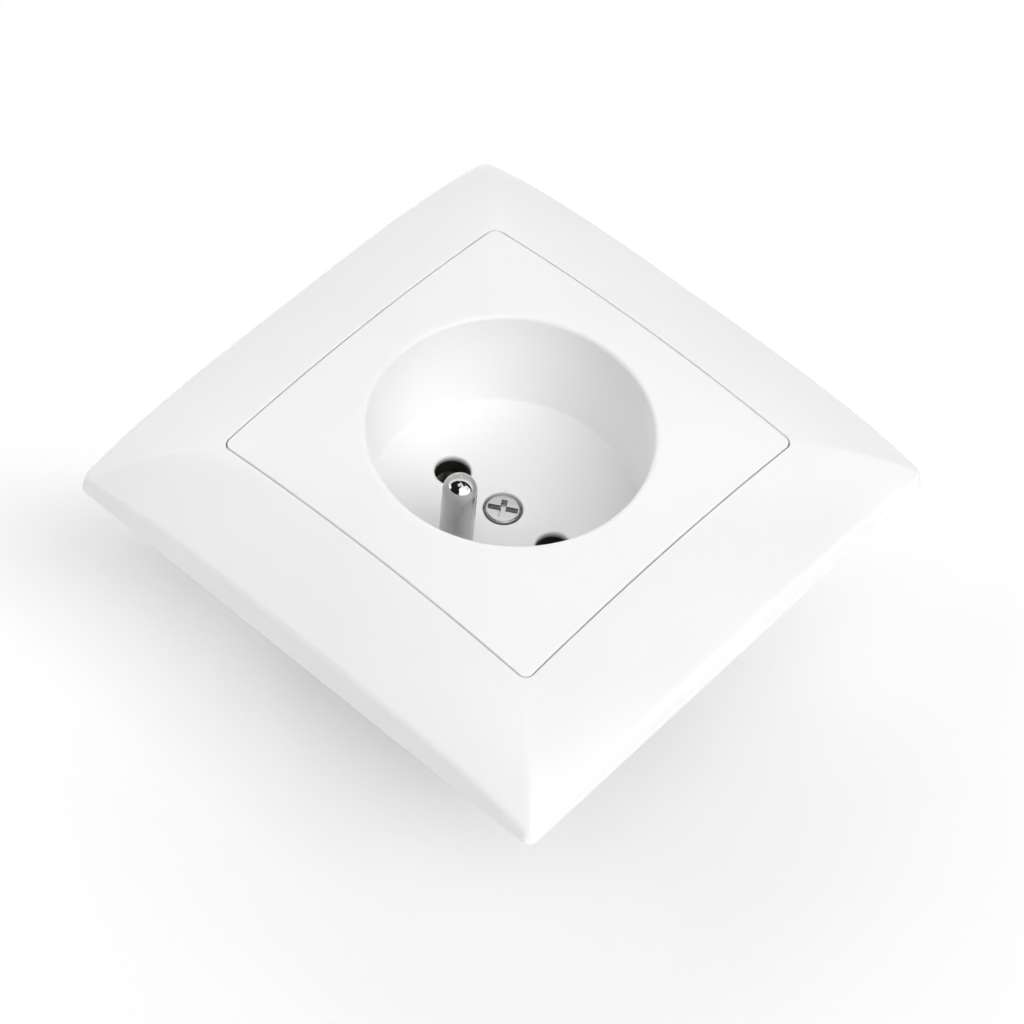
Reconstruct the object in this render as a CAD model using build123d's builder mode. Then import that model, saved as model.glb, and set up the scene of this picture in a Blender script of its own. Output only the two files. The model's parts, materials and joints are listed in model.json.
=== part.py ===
from build123d import *
import os
from math import pi, sqrt

# A flush wall socket with two contact holes and a fixed earth pin.
# All sizes are millimetres. z = 0 is the wall, +z points into the room and +y points up.
# The centre of the mounting pattern is the origin.

os.makedirs("parts", exist_ok=True)

# Centre plate and its dome
PLATE_SIDE = 55.0           # side of the centre plate
PLATE_CORNER = 1.2          # radius of the plate's corners in plan
SEAM_Z = 11.0               # height of the plate's edge at the middle of a side
SEAM_SAG = 1.6              # how far the plate's corners lie below that
DOME_RISE = 3.8             # how far the dome would rise above that at its centre
PLATE_WALL = 1.9            # wall of the moulded plate
RIM_WALL = 1.5              # wall of the plate's edge
LEDGE_Z = 7.6               # height at which the plate's edge rests in the frame
RIB_PLACE = 9.0             # ribs behind the plate stand this far from its middle lines
RIB_OUT = 23.3              # and the middle of each lies this far out
RIB_LENGTH = 6.0            # length of such a rib
RIB_WALL = 1.2              # thickness of a rib
RIB_DEPTH = 2.0             # depth of a rib behind the plate
RIB_GAP = 0.4               # the ribs start this far above the plate's edge

# Plug well
WELL_R = 19.6               # radius of the well at its mouth
WELL_FLOOR_R = 19.35        # radius at the floor, less by the mould's draft
WELL_WALL = 1.7             # wall of the well
WELL_TOP_Z = 11.8           # the outside of the well's wall ends inside the dome
WELL_FLOOR_Z = -5.3         # height of the well's floor
FLOOR_WALL = 2.0            # thickness of the floor
MOUTH_ROUND = 0.9           # radius of the rounded mouth
CONTACT_X = 9.5             # contact holes stand 19 mm apart
CONTACT_HOLE_R = 2.6        # radius of a contact hole
CONTACT_LIP = 0.35          # radius of the rounded lip of a contact hole
BOSS_R = 4.5                # radius of the boss under the floor
SINK_R = 2.85               # radius of the sink for the plate screw's head
SINK_DEPTH = 1.7            # depth of that sink
SCREW_HOLE_R = 1.65         # radius of the hole for the plate screw

# Earth pin
PIN_Y = 10.0                # offset of the earth pin from the middle
PIN_R = 2.4                 # radius of the earth pin
PIN_TIP_Z = 10.65           # height of its tip, which is a half ball
PIN_SEAT_R = 2.6            # radius of its thicker foot, which the floor's hole guides
PIN_SEAT_Z = -5.1           # top of that foot
PIN_COLLAR_R = 3.2          # radius of the collar under the contact cover
PIN_TAIL_R = 1.5            # radius of the tail through the earth strap
PIN_RIVET_R = 2.4           # radius of the riveted end
PIN_RIVET = 0.9             # height of the riveted end
PIN_RIVET_EASE = 0.4        # how much narrower the riveted end is at its back

# Cover frame
FRAME_SIDE = 83.2           # side of the frame at the wall
FRAME_CORNER = 1.5          # radius of the frame's corners in plan
FRAME_WALL = 1.9            # wall of the frame
SEAM_GAP = 0.25             # gap between plate and frame
CREASE_HALF = 41.35         # half the frame's side where its face meets its wall
CREASE_Z = 5.5              # height of that crease at the middle of a side
CREASE_SAG = 3.4            # how far the crease falls towards a corner
CREASE_POWER = 3.5          # how late along the side it falls
CREASE_ROUND = 1.2          # size of the rounding at the crease
MITRE_EASE = 0.044          # how much flatter the face leaves the plate at the mitres
HOLLOW_ROUND = 0.6          # rounding inside the hollow, behind the crease
WINDOW_WALL = 1.5           # wall round the frame's window
LEDGE_WIDTH = 2.85          # width of the ledge that carries the plate
LEDGE_WALL = 1.6            # thickness of that ledge
LEDGE_CORNER = 2.0          # radius of the ledge's corners
FACE_STEPS = 4              # each half of a side is lofted through this many sections
LEG_HALF = 27.2             # inner face of the corner legs, which stand on the bracket
LEG_GAP = 22.0              # gap between two legs of one side
CORNER_RIB_HALF = 36.5      # the rib behind a mitre ends this far out
CORNER_RIB_Z = 3.2          # lower edge of that rib

# Mounting bracket
SHEET = 1.0                 # steel sheet
BRACKET_SIDE = 71.0         # side of the bracket
BRACKET_CORNER = 7.0        # its corners are cut off by this much
BRACKET_ROUND = 2.0         # and the cut corners are rounded
BOX_SCREW_Y = 30.0          # box screws stand 60 mm apart
SLOT_LENGTH = 7.0           # slot for a box screw, end to end
SLOT_R = 2.0                # half its width
OPENING_R = 21.9            # radius of the opening for the well
BEAD_X = 31.5               # the stiffening beads lie this far out
BEAD_LENGTH = 16.0          # length of a bead
BEAD_WIDTH = 2.4            # width of a bead
BEAD_DEPTH = 0.5            # depth to which a bead is pressed
LEG_WIDTH = 12.0            # width of a leg and its foot
LEG_RELIEF = 0.8            # relief cut on each side of a leg
LEG_Y = 21.8                # inner face of a leg
LEG_BEND = 0.9              # outer radius of a leg's bend
FOOT_Y = 14.5               # inner end of a foot
FOOT_SCREW_Y = 18.5         # place of the screw through a foot
FOOT_HOLE_R = 1.6           # radius of the hole for that screw

# Base and contact cover
BASE_X = 43.0               # width of the base
BASE_Y = 45.0               # height of the base
BASE_CORNER = 6.0           # radius of its corners
BASE_EDGE = 0.8             # chamfer round its back
BASE_FRONT_Z = -9.0         # front face of the base
BASE_BACK_Z = -28.0         # back face of the base
FOOT_Z = -10.0              # height on which the feet rest
CHAMBER = 8.0               # side of a contact chamber and of a terminal pocket
CHAMBER_FLOOR_Z = -25.5     # floor of a contact chamber
TERMINAL_X = 14.0           # terminals stand this far out
TERMINAL_Y = 14.0           # and this far up or down
SHELF_Z = -16.6             # top of a terminal's shelf
COLLAR_POCKET = 5.4         # side of the recess under a shelf, for its collar
COLLAR_ROOM = 4.0           # depth of that recess
WIRE_SLOT = 4.8             # width of a wire's slot
WIRE_SLOT_LENGTH = 10.0     # length of a wire's slot, half of it outside the base
WEB_SLOT_Y = -7.0           # place of the slot for a contact's web
CORE_X = 17.5               # cores stand this far out beside the chambers
CORE_LOWER_Y = -12.4        # place of the core below the chambers
CORE_UPPER_Y = 14.6         # place of the core above them
CORE_WIDTH = 5.0            # width of the cores beside the chambers
CORE_LENGTH = 14.0          # length of all cores
CORE_HEIGHT = 6.4           # height of the cores above and below
CORE_DEPTH = 8.0            # depth of the cores in the base's back
COVER_X = 39.0              # width of the contact cover
COVER_Y = 18.4              # height of the contact cover
COVER_TAB_X = 18.0          # width of the cover's tab round the earth pin
COVER_TAB_Y = 5.0           # height of that tab
COVER_TAB_OFFSET = 1.0      # how much higher than the pin its middle lies
COVER_ROUND = 1.2           # radius of the cover's corners
COVER_HOLE_R = 3.0          # radius of the cover's holes over the contacts
PEG_X = 16.8                # the cover's pegs stand this far out
PEG_Y = 5.6                 # and this far up
PEG_R = 1.0                 # radius of a peg
PEG_LENGTH = 2.6            # length of a peg

# Brass strips
STRAP = 0.8                 # thickness of the brass strip
GRIP_WALL = 0.6             # thickness of the sprung strip
GRIP_WIDTH = 6.4            # width of the sprung strip
GRIP_MOUTH = 3.4            # half the grip's width at its flared mouth
GRIP_NECK = 2.5             # half its width where it holds the plug's pin
GRIP_BELLY = 3.2            # half its width below that
GRIP_MOUTH_Z = -10.2        # height of the mouth
GRIP_NECK_Z = -13.6         # height of the neck
GRIP_BELLY_Z = -18.5        # height at which the grip is straight again
GRIP_FOOT_Z = -25.0         # foot of the grip
GRIP_BEND = 1.2             # radius of the grip's bends
WEB_X = 2.8                 # a contact's web stands this far outside its grip
WEB_Y = -6.7                # middle of the web
WEB_LENGTH = 7.4            # length of the web
WEB_HEIGHT = 5.0            # height of the web
STRAP_WIDTH = 6.4           # width of the earth strap at the pin
STRAP_Y = 14.4              # middle of the earth strap
STRAP_LENGTH = 15.2         # its length along y
ARM_WIDTH = 4.0             # width of its arm to the earth terminal
ARM_X = 9.6                 # place of the arm's bend downward
TAPPED_COLLAR_R = 2.4       # radius of the tapped collar under a shelf
TAPPED_COLLAR = 1.6         # height of that collar

# Terminal clamps
CLAMP_Z = -12.0             # underside of a clamp plate, standing open for a wire
CLAMP_WALL = 1.1            # thickness of a clamp plate
CLAMP_X = 7.2               # width of a clamp plate
CLAMP_Y = 6.8               # length of a clamp plate
CLAMP_LIP = 1.2             # depth of its two lips
TERMINAL_HEAD_R = 2.8       # radius of a terminal screw's head
TERMINAL_HEAD = 1.7         # height of that head
TERMINAL_TIP_Z = -20.4      # tip of a terminal screw

# Claws
CLAW_X = 25.0               # axis of a claw's screw
PIVOT_Z = 3.1               # centre of the ball seat under the screw's head
BALL_R = 2.7                # radius of that ball seat
CLAW_HEAD = 0.5             # height of the screw's head above the ball's centre
CLAW_SLOT_DEPTH = 1.1       # depth of the slot in that head
CLAW_SLOT_LENGTH = 4.1      # slot in the bracket in which a claw's screw swings
CLAW_SLOT_WIDTH = 3.5       # width of that slot
CLAW_SLOT_OFFSET = 0.35     # how much further out than the screw it is centred
CLAW_SCREW_TIP_Z = -24.5    # end of a claw's screw
CLAW_Z = -20.2              # underside of the claw's plate
CLAW_SHEET = 1.2            # sheet of the claw
CLAW_REACH = 29.2           # the teeth reach this far out when closed
CLAW_INNER = 22.0           # inner end of the claw
CLAW_WIDTH = 10.6           # width of the claw
TOOTH_PITCH = 2.65          # distance between the claw's notches
TOOTH_NOTCH = 1.6           # side of a notch
FLANGE_HEIGHT = 5.2         # height of the claw's side flanges
FLANGE_LENGTH = 5.0         # length of a flange
FLANGE_WALL = 1.0           # thickness of a flange
FLANGE_OFFSET = 1.0         # how much further out than the screw the flanges are centred
WEDGE_Y = 2.8               # wedges on the base stand this far from the middle
WEDGE_WALL = 1.6            # thickness of a wedge
WEDGE_ROOT_X = 20.0         # where a wedge is rooted inside the base
WEDGE_ROOT_Z = -23.0        # lower end of that root
WEDGE_START_Z = -19.6       # height at which a wedge leaves the base's side
WEDGE_X = 24.0              # how far out a wedge reaches
WEDGE_FULL_Z = -11.0        # height from which it reaches that far

# Screws and nut
M3_R = 1.45                 # radius of a shank
M3_HOLE_R = 1.5             # radius of a tapped hole
TIP_CHAMFER = 0.3           # chamfer of a screw's tip
SLOT_WIDTH = 0.8            # width of a screw's slot
HEAD_EDGE = 0.3             # share of a head's height that its chamfer takes
SLOT_SHARE = 0.5            # share of a head's height that its slot takes
PLATE_HEAD_R = 2.5          # radius of the plate screw's head
PLATE_HEAD = 1.6            # height of that head
RECESS_SLOT = 4.4           # length of its slot, which doesn't reach the head's edge
RECESS_CROSS = 3.0          # length of the bar across that slot
RECESS_DEPTH = 0.8          # depth of slot and cross
RECESS_TURN = 31.0          # degrees by which the screw stands turned, as in the photo
PLATE_TIP_Z = -15.0         # tip of the plate screw
PLATE_TIP_ROOM = 7.0        # depth of the base's hole for that tip
BRACKET_HEAD_R = 2.5        # radius of a bracket screw's head
BRACKET_HEAD = 1.1          # height of that head
BRACKET_SCREW_R = 1.2       # radius of a bracket screw
BRACKET_TIP_Z = -17.5       # tip of a bracket screw
PILOT_R = 1.22              # radius of the base's hole for it
PILOT_DEPTH = 10.0          # depth of that hole
NUT_SIDE = 5.5              # side of the square nut
NUT_HEIGHT = 2.4            # height of the nut
NUT_DEPTH = 3.4             # depth of the nut's underside below the base's front

# Clearances
PLAY = 0.1                  # between parts that are put together
SLACK = 0.4                 # between a moulded pocket and the strip in it
TIP_PLAY = 0.25             # round the tip of the plate screw
OVER = 1.0                  # how far a cutting shape runs past what it cuts
HAIR = 0.02                 # keeps a cutting face clear of the face beside it

half_plate = PLATE_SIDE / 2
half_window = half_plate + SEAM_GAP
half_frame = FRAME_SIDE / 2
half_ledge = half_window - LEDGE_WIDTH
seam_mid = half_plate + SEAM_GAP / 2
window_outer = half_window + WINDOW_WALL
floor_back = WELL_FLOOR_Z - FLOOR_WALL
pocket_floor = SHELF_Z - STRAP
terminals = {
    "live": (-TERMINAL_X, -TERMINAL_Y),
    "neutral": (TERMINAL_X, -TERMINAL_Y),
    "earth": (TERMINAL_X, TERMINAL_Y),
}


def plate_height(x, y):
    """Height of the centre plate's face."""
    u, v = x / half_plate, y / half_plate
    return SEAM_Z + DOME_RISE * (1 - u**2 - v**2) + (DOME_RISE - SEAM_SAG) * u**2 * v**2


def frame_height(u, t):
    """Height of the frame's face, u out from the middle and t along the side, -1 to 1."""
    run = CREASE_HALF - seam_mid
    s = (u - seam_mid) / run
    edge_slope = 2 * DOME_RISE / half_plate
    fall = CREASE_SAG * abs(t) ** CREASE_POWER
    first = run * (edge_slope - MITRE_EASE * t**2)
    second = SEAM_Z - CREASE_Z - SEAM_SAG * t**2 + fall - first
    return SEAM_Z - SEAM_SAG * t**2 - first * s - second * s**2


def dome_block(half, drop, low_z):
    """Block under the plate's dome, its top lowered by drop."""
    with BuildPart() as block:
        for share in (-1, -0.5, 0, 0.5, 1):
            y = share * half
            edge_z = plate_height(half, y) - drop
            with BuildSketch(Plane.XZ.offset(-y)):
                with BuildLine():
                    ThreePointArc((-half, edge_z), (0, plate_height(0, y) - drop), (half, edge_z))
                    Polyline((half, edge_z), (half, low_z), (-half, low_z), (-half, edge_z))
                make_face()
        loft()
    return block.part


def frame_quarter(inner, outer, drop, low_z, rounding):
    """One mitred quarter of the frame, lofted along its side from mitre to mitre."""
    shoulder = outer - rounding
    with BuildPart() as quarter:
        for station in range(-FACE_STEPS, FACE_STEPS + 1):
            t = station / FACE_STEPS
            stretch = sqrt(1 + t**2)
            top = []
            for i in range(FACE_STEPS + 1):
                u = inner + (shoulder - inner) * i / FACE_STEPS
                top.append((u * stretch, frame_height(u, t) - drop))
            crease = (outer * stretch, frame_height(outer, t) - drop)
            wall = (crease[0], crease[1] - rounding)
            foot = ((outer + half_frame - CREASE_HALF) * stretch, low_z)
            with BuildSketch(Plane(origin=(0, 0, 0), x_dir=(1, t, 0), z_dir=(t, -1, 0))):
                with BuildLine():
                    Spline(top)
                    Bezier(top[-1], crease, wall)
                    Polyline(wall, foot, (inner * stretch, low_z), top[0])
                make_face()
        loft()
    return quarter.part


def pan_screw(x, y, seat_z, head_r, head_h, shank_r, tip_z):
    """Screw with a slotted pan head, its head standing on seat_z."""
    with BuildPart() as screw:
        with BuildSketch(Plane((x, y, seat_z))):
            Circle(head_r)
        extrude(amount=head_h)
        chamfer(screw.edges().sort_by(Axis.Z)[-1], HEAD_EDGE * head_h)
        with BuildSketch(Plane((x, y, tip_z))):
            Circle(shank_r)
        extrude(amount=seat_z - tip_z)
        chamfer(screw.edges().sort_by(Axis.Z)[0], TIP_CHAMFER)
        with BuildSketch(Plane((x, y, seat_z + head_h))):
            Rectangle(2 * head_r + OVER, SLOT_WIDTH)
        extrude(amount=-SLOT_SHARE * head_h, mode=Mode.SUBTRACT)
    return screw.part


# Cover frame: four mitred quarters make the pillow, and a second ring of them hollows it
skin = frame_quarter(LEG_HALF, CREASE_HALF, 0, 0, CREASE_ROUND)
hollow = frame_quarter(window_outer, CREASE_HALF - FRAME_WALL, FRAME_WALL, -OVER, HOLLOW_ROUND)

with BuildPart() as mitre_rib_builder:
    rib_start = window_outer - WINDOW_WALL / 2
    with BuildSketch(Plane.XZ):
        with BuildLine():
            Polyline(
                (rib_start * sqrt(2), CORNER_RIB_Z),
                (CORNER_RIB_HALF * sqrt(2), CORNER_RIB_Z),
                (CORNER_RIB_HALF * sqrt(2), frame_height(CORNER_RIB_HALF, 1) - FRAME_WALL / 2),
                (rib_start * sqrt(2), frame_height(rib_start, 1) - FRAME_WALL / 2),
                close=True,
            )
        make_face()
    extrude(amount=RIB_WALL / 2, both=True)
mitre_rib = mitre_rib_builder.part

with BuildPart() as cover_frame:
    with PolarLocations(0, 4):
        add(skin)
    with PolarLocations(0, 4):
        add(hollow, mode=Mode.SUBTRACT)
    # the ledge that carries the plate, and the window above it
    with BuildSketch(Plane.XY.offset(LEDGE_Z - LEDGE_WALL)):
        Rectangle(2 * window_outer, 2 * window_outer)
        RectangleRounded(2 * half_ledge, 2 * half_ledge, LEDGE_CORNER, mode=Mode.SUBTRACT)
    extrude(amount=LEDGE_WALL)
    with BuildSketch(Plane.XY.offset(LEDGE_Z)):
        RectangleRounded(2 * half_window, 2 * half_window, PLATE_CORNER + SEAM_GAP)
    extrude(amount=SEAM_Z, mode=Mode.SUBTRACT)
    # corner legs stand on the bracket, with room for the screws between them
    with BuildSketch():
        Rectangle(2 * window_outer + PLAY, 2 * window_outer + PLAY)
    extrude(amount=SHEET, mode=Mode.SUBTRACT)
    with BuildSketch():
        Rectangle(2 * window_outer + PLAY, LEG_GAP)
        Rectangle(LEG_GAP, 2 * window_outer + PLAY)
    extrude(amount=LEDGE_Z - LEDGE_WALL, mode=Mode.SUBTRACT)
    # a rib behind each mitre, from the window's wall out under the face
    with PolarLocations(0, 4, start_angle=45):
        add(mitre_rib)
    # the outer corners are rounded in plan
    with BuildSketch():
        Rectangle(FRAME_SIDE + OVER, FRAME_SIDE + OVER)
        RectangleRounded(FRAME_SIDE + HAIR, FRAME_SIDE + HAIR, FRAME_CORNER, mode=Mode.SUBTRACT)
    extrude(amount=SEAM_Z + OVER, mode=Mode.SUBTRACT)
cover_frame.part.label = "cover_frame"
export_step(cover_frame.part, "parts/cover_frame.step")


# Centre plate: a domed shell with the plug well moulded into it
plate_block = dome_block(half_plate + OVER, 0, LEDGE_Z)
plate_core = dome_block(half_plate - RIM_WALL, PLATE_WALL, LEDGE_Z - OVER)
floor_through = WELL_FLOOR_Z - BASE_FRONT_Z + OVER

with BuildPart() as centre_plate:
    add(plate_block)
    with BuildSketch(Plane.XY.offset(LEDGE_Z)):
        RectangleRounded(PLATE_SIDE, PLATE_SIDE, PLATE_CORNER)
    extrude(amount=SEAM_Z, mode=Mode.INTERSECT)
    add(plate_core, mode=Mode.SUBTRACT)
    # the outside of the well is turned about the middle
    with BuildSketch(Plane.XZ):
        with BuildLine():
            Polyline(
                (0, floor_back),
                (WELL_FLOOR_R + WELL_WALL, floor_back),
                (WELL_R + WELL_WALL, WELL_TOP_Z),
                (0, WELL_TOP_Z),
                close=True,
            )
        make_face()
    revolve(axis=Axis.Z)
    # short ribs tie the well to the plate's edge
    with BuildSketch(Plane.XY.offset(LEDGE_Z + RIB_GAP)):
        with GridLocations(2 * RIB_OUT, 2 * RIB_PLACE, 2, 2):
            Rectangle(RIB_LENGTH, RIB_WALL)
        with GridLocations(2 * RIB_PLACE, 2 * RIB_OUT, 2, 2):
            Rectangle(RIB_WALL, RIB_LENGTH)
    extrude(amount=RIB_DEPTH)
    # a boss under the floor takes the plate's screw
    with BuildSketch(Plane.XY.offset(BASE_FRONT_Z)):
        Circle(BOSS_R)
    extrude(amount=floor_back - BASE_FRONT_Z)
    # the well itself
    with BuildSketch(Plane.XZ):
        with BuildLine():
            Polyline(
                (0, WELL_FLOOR_Z),
                (WELL_FLOOR_R, WELL_FLOOR_Z),
                (WELL_R, SEAM_Z),
                (WELL_R, SEAM_Z + DOME_RISE),
                (0, SEAM_Z + DOME_RISE),
                close=True,
            )
        make_face()
    revolve(axis=Axis.Z, mode=Mode.SUBTRACT)
    mouth = centre_plate.edges().filter_by(lambda edge: edge.center().Z > SEAM_Z + 1)
    fillet(mouth, MOUTH_ROUND)
    # contact holes with a rounded lip, the earth pin's hole and the sink for the screw
    with Locations(Plane.XY.offset(WELL_FLOOR_Z)):
        with Locations((CONTACT_X, 0), (-CONTACT_X, 0)):
            Hole(CONTACT_HOLE_R, depth=floor_through)
    hole_edges = centre_plate.edges().filter_by_position(Axis.Z, WELL_FLOOR_Z, WELL_FLOOR_Z)
    lips = hole_edges.filter_by(lambda edge: edge.length < 2 * pi * (CONTACT_HOLE_R + PLAY))
    fillet(lips, CONTACT_LIP)
    with Locations(Plane.XY.offset(WELL_FLOOR_Z)):
        with Locations((0, PIN_Y)):
            Hole(PIN_SEAT_R + PLAY, depth=floor_through)
        with Locations((0, 0)):
            CounterBoreHole(SCREW_HOLE_R, SINK_R, SINK_DEPTH, depth=floor_through)
centre_plate.part.label = "centre_plate"
export_step(centre_plate.part, "parts/centre_plate.step")


# Earth pin: a turned pin with a foot, a collar under the contact cover and a riveted tail
with BuildPart() as earth_pin:
    shoulder_z = PIN_TIP_Z - PIN_R
    rivet_z = FOOT_Z - STRAP
    with BuildSketch(Plane.XZ.offset(-PIN_Y)):
        with BuildLine():
            CenterArc((0, shoulder_z), PIN_R, 0, 90)
            Polyline(
                (0, PIN_TIP_Z),
                (0, rivet_z - PIN_RIVET),
                (PIN_RIVET_R - PIN_RIVET_EASE, rivet_z - PIN_RIVET),
                (PIN_RIVET_R, rivet_z),
                (PIN_TAIL_R, rivet_z),
                (PIN_TAIL_R, FOOT_Z),
                (PIN_COLLAR_R, FOOT_Z),
                (PIN_COLLAR_R, BASE_FRONT_Z),
                (PIN_SEAT_R, BASE_FRONT_Z),
                (PIN_SEAT_R, PIN_SEAT_Z),
                (PIN_R, PIN_SEAT_Z),
                (PIN_R, shoulder_z),
            )
        make_face()
    revolve(axis=Axis((0, PIN_Y, 0), (0, 0, 1)))
earth_pin.part.label = "earth_pin"
export_step(earth_pin.part, "parts/earth_pin.step")


# Plate screw: head sunk in the well's floor, with a cross and slot recess
sink_z = WELL_FLOOR_Z - SINK_DEPTH
with BuildPart() as plate_screw:
    with BuildSketch(Plane.XY.offset(sink_z)):
        Circle(PLATE_HEAD_R)
    extrude(amount=PLATE_HEAD)
    chamfer(plate_screw.edges().sort_by(Axis.Z)[-1], HEAD_EDGE * PLATE_HEAD)
    with BuildSketch(Plane.XY.offset(PLATE_TIP_Z)):
        Circle(M3_R)
    extrude(amount=sink_z - PLATE_TIP_Z)
    chamfer(plate_screw.edges().sort_by(Axis.Z)[0], TIP_CHAMFER)
    with BuildSketch(Plane.XY.offset(sink_z + PLATE_HEAD)):
        Rectangle(RECESS_SLOT, SLOT_WIDTH, rotation=RECESS_TURN)
        Rectangle(SLOT_WIDTH, RECESS_CROSS, rotation=RECESS_TURN)
    extrude(amount=-RECESS_DEPTH, mode=Mode.SUBTRACT)
plate_screw.part.label = "plate_screw"
export_step(plate_screw.part, "parts/plate_screw.step")

# Square nut for the plate screw, in a pocket of the base
with BuildPart() as plate_nut:
    with BuildSketch(Plane.XY.offset(BASE_FRONT_Z - NUT_DEPTH)):
        Rectangle(NUT_SIDE, NUT_SIDE)
        Circle(M3_HOLE_R, mode=Mode.SUBTRACT)
    extrude(amount=NUT_HEIGHT)
plate_nut.part.label = "plate_nut"
export_step(plate_nut.part, "parts/plate_nut.step")


# Mounting bracket: pressed plate with a round opening and two legs down to the base
with BuildPart() as mounting_bracket:
    with BuildSketch() as outline:
        Rectangle(BRACKET_SIDE, BRACKET_SIDE)
        chamfer(outline.vertices(), BRACKET_CORNER)
        fillet(outline.vertices(), BRACKET_ROUND)
        Circle(OPENING_R, mode=Mode.SUBTRACT)
        Rectangle(LEG_WIDTH + 2 * LEG_RELIEF, 2 * LEG_Y, mode=Mode.SUBTRACT)
        # slots for the box screws, and slots in which the claw screws swing
        with Locations((0, BOX_SCREW_Y), (0, -BOX_SCREW_Y)):
            SlotOverall(SLOT_LENGTH, 2 * SLOT_R, rotation=90, mode=Mode.SUBTRACT)
        claw_slot_x = CLAW_X + CLAW_SLOT_OFFSET
        with Locations((claw_slot_x, 0), (-claw_slot_x, 0)):
            SlotOverall(CLAW_SLOT_LENGTH, CLAW_SLOT_WIDTH, mode=Mode.SUBTRACT)
    extrude(amount=SHEET)
    # stiffening beads beside the opening, pressed in from the front
    with BuildSketch(Plane.XY.offset(SHEET)):
        with Locations((BEAD_X, 0), (-BEAD_X, 0)):
            SlotOverall(BEAD_LENGTH, BEAD_WIDTH, rotation=90)
    extrude(amount=-BEAD_DEPTH, mode=Mode.SUBTRACT)
    for side in (1, -1):
        with BuildSketch(Plane.XY.offset(FOOT_Z)):
            with Locations((0, side * (LEG_Y + SHEET / 2))):
                Rectangle(LEG_WIDTH, SHEET)
        extrude(amount=SHEET - FOOT_Z)
        with BuildSketch(Plane.XY.offset(FOOT_Z)):
            with Locations((0, side * (FOOT_Y + LEG_Y + SHEET) / 2)):
                Rectangle(LEG_WIDTH, LEG_Y + SHEET - FOOT_Y)
            with Locations((0, side * FOOT_SCREW_Y)):
                Circle(FOOT_HOLE_R, mode=Mode.SUBTRACT)
        extrude(amount=SHEET)
    bends = mounting_bracket.edges().filter_by(Axis.X).filter_by_position(Axis.Z, FOOT_Z, FOOT_Z)
    fillet(bends.sort_by(Axis.Y)[0], LEG_BEND)
    fillet(bends.sort_by(Axis.Y)[-1], LEG_BEND)
mounting_bracket.part.label = "mounting_bracket"
export_step(mounting_bracket.part, "parts/mounting_bracket.step")


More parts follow.
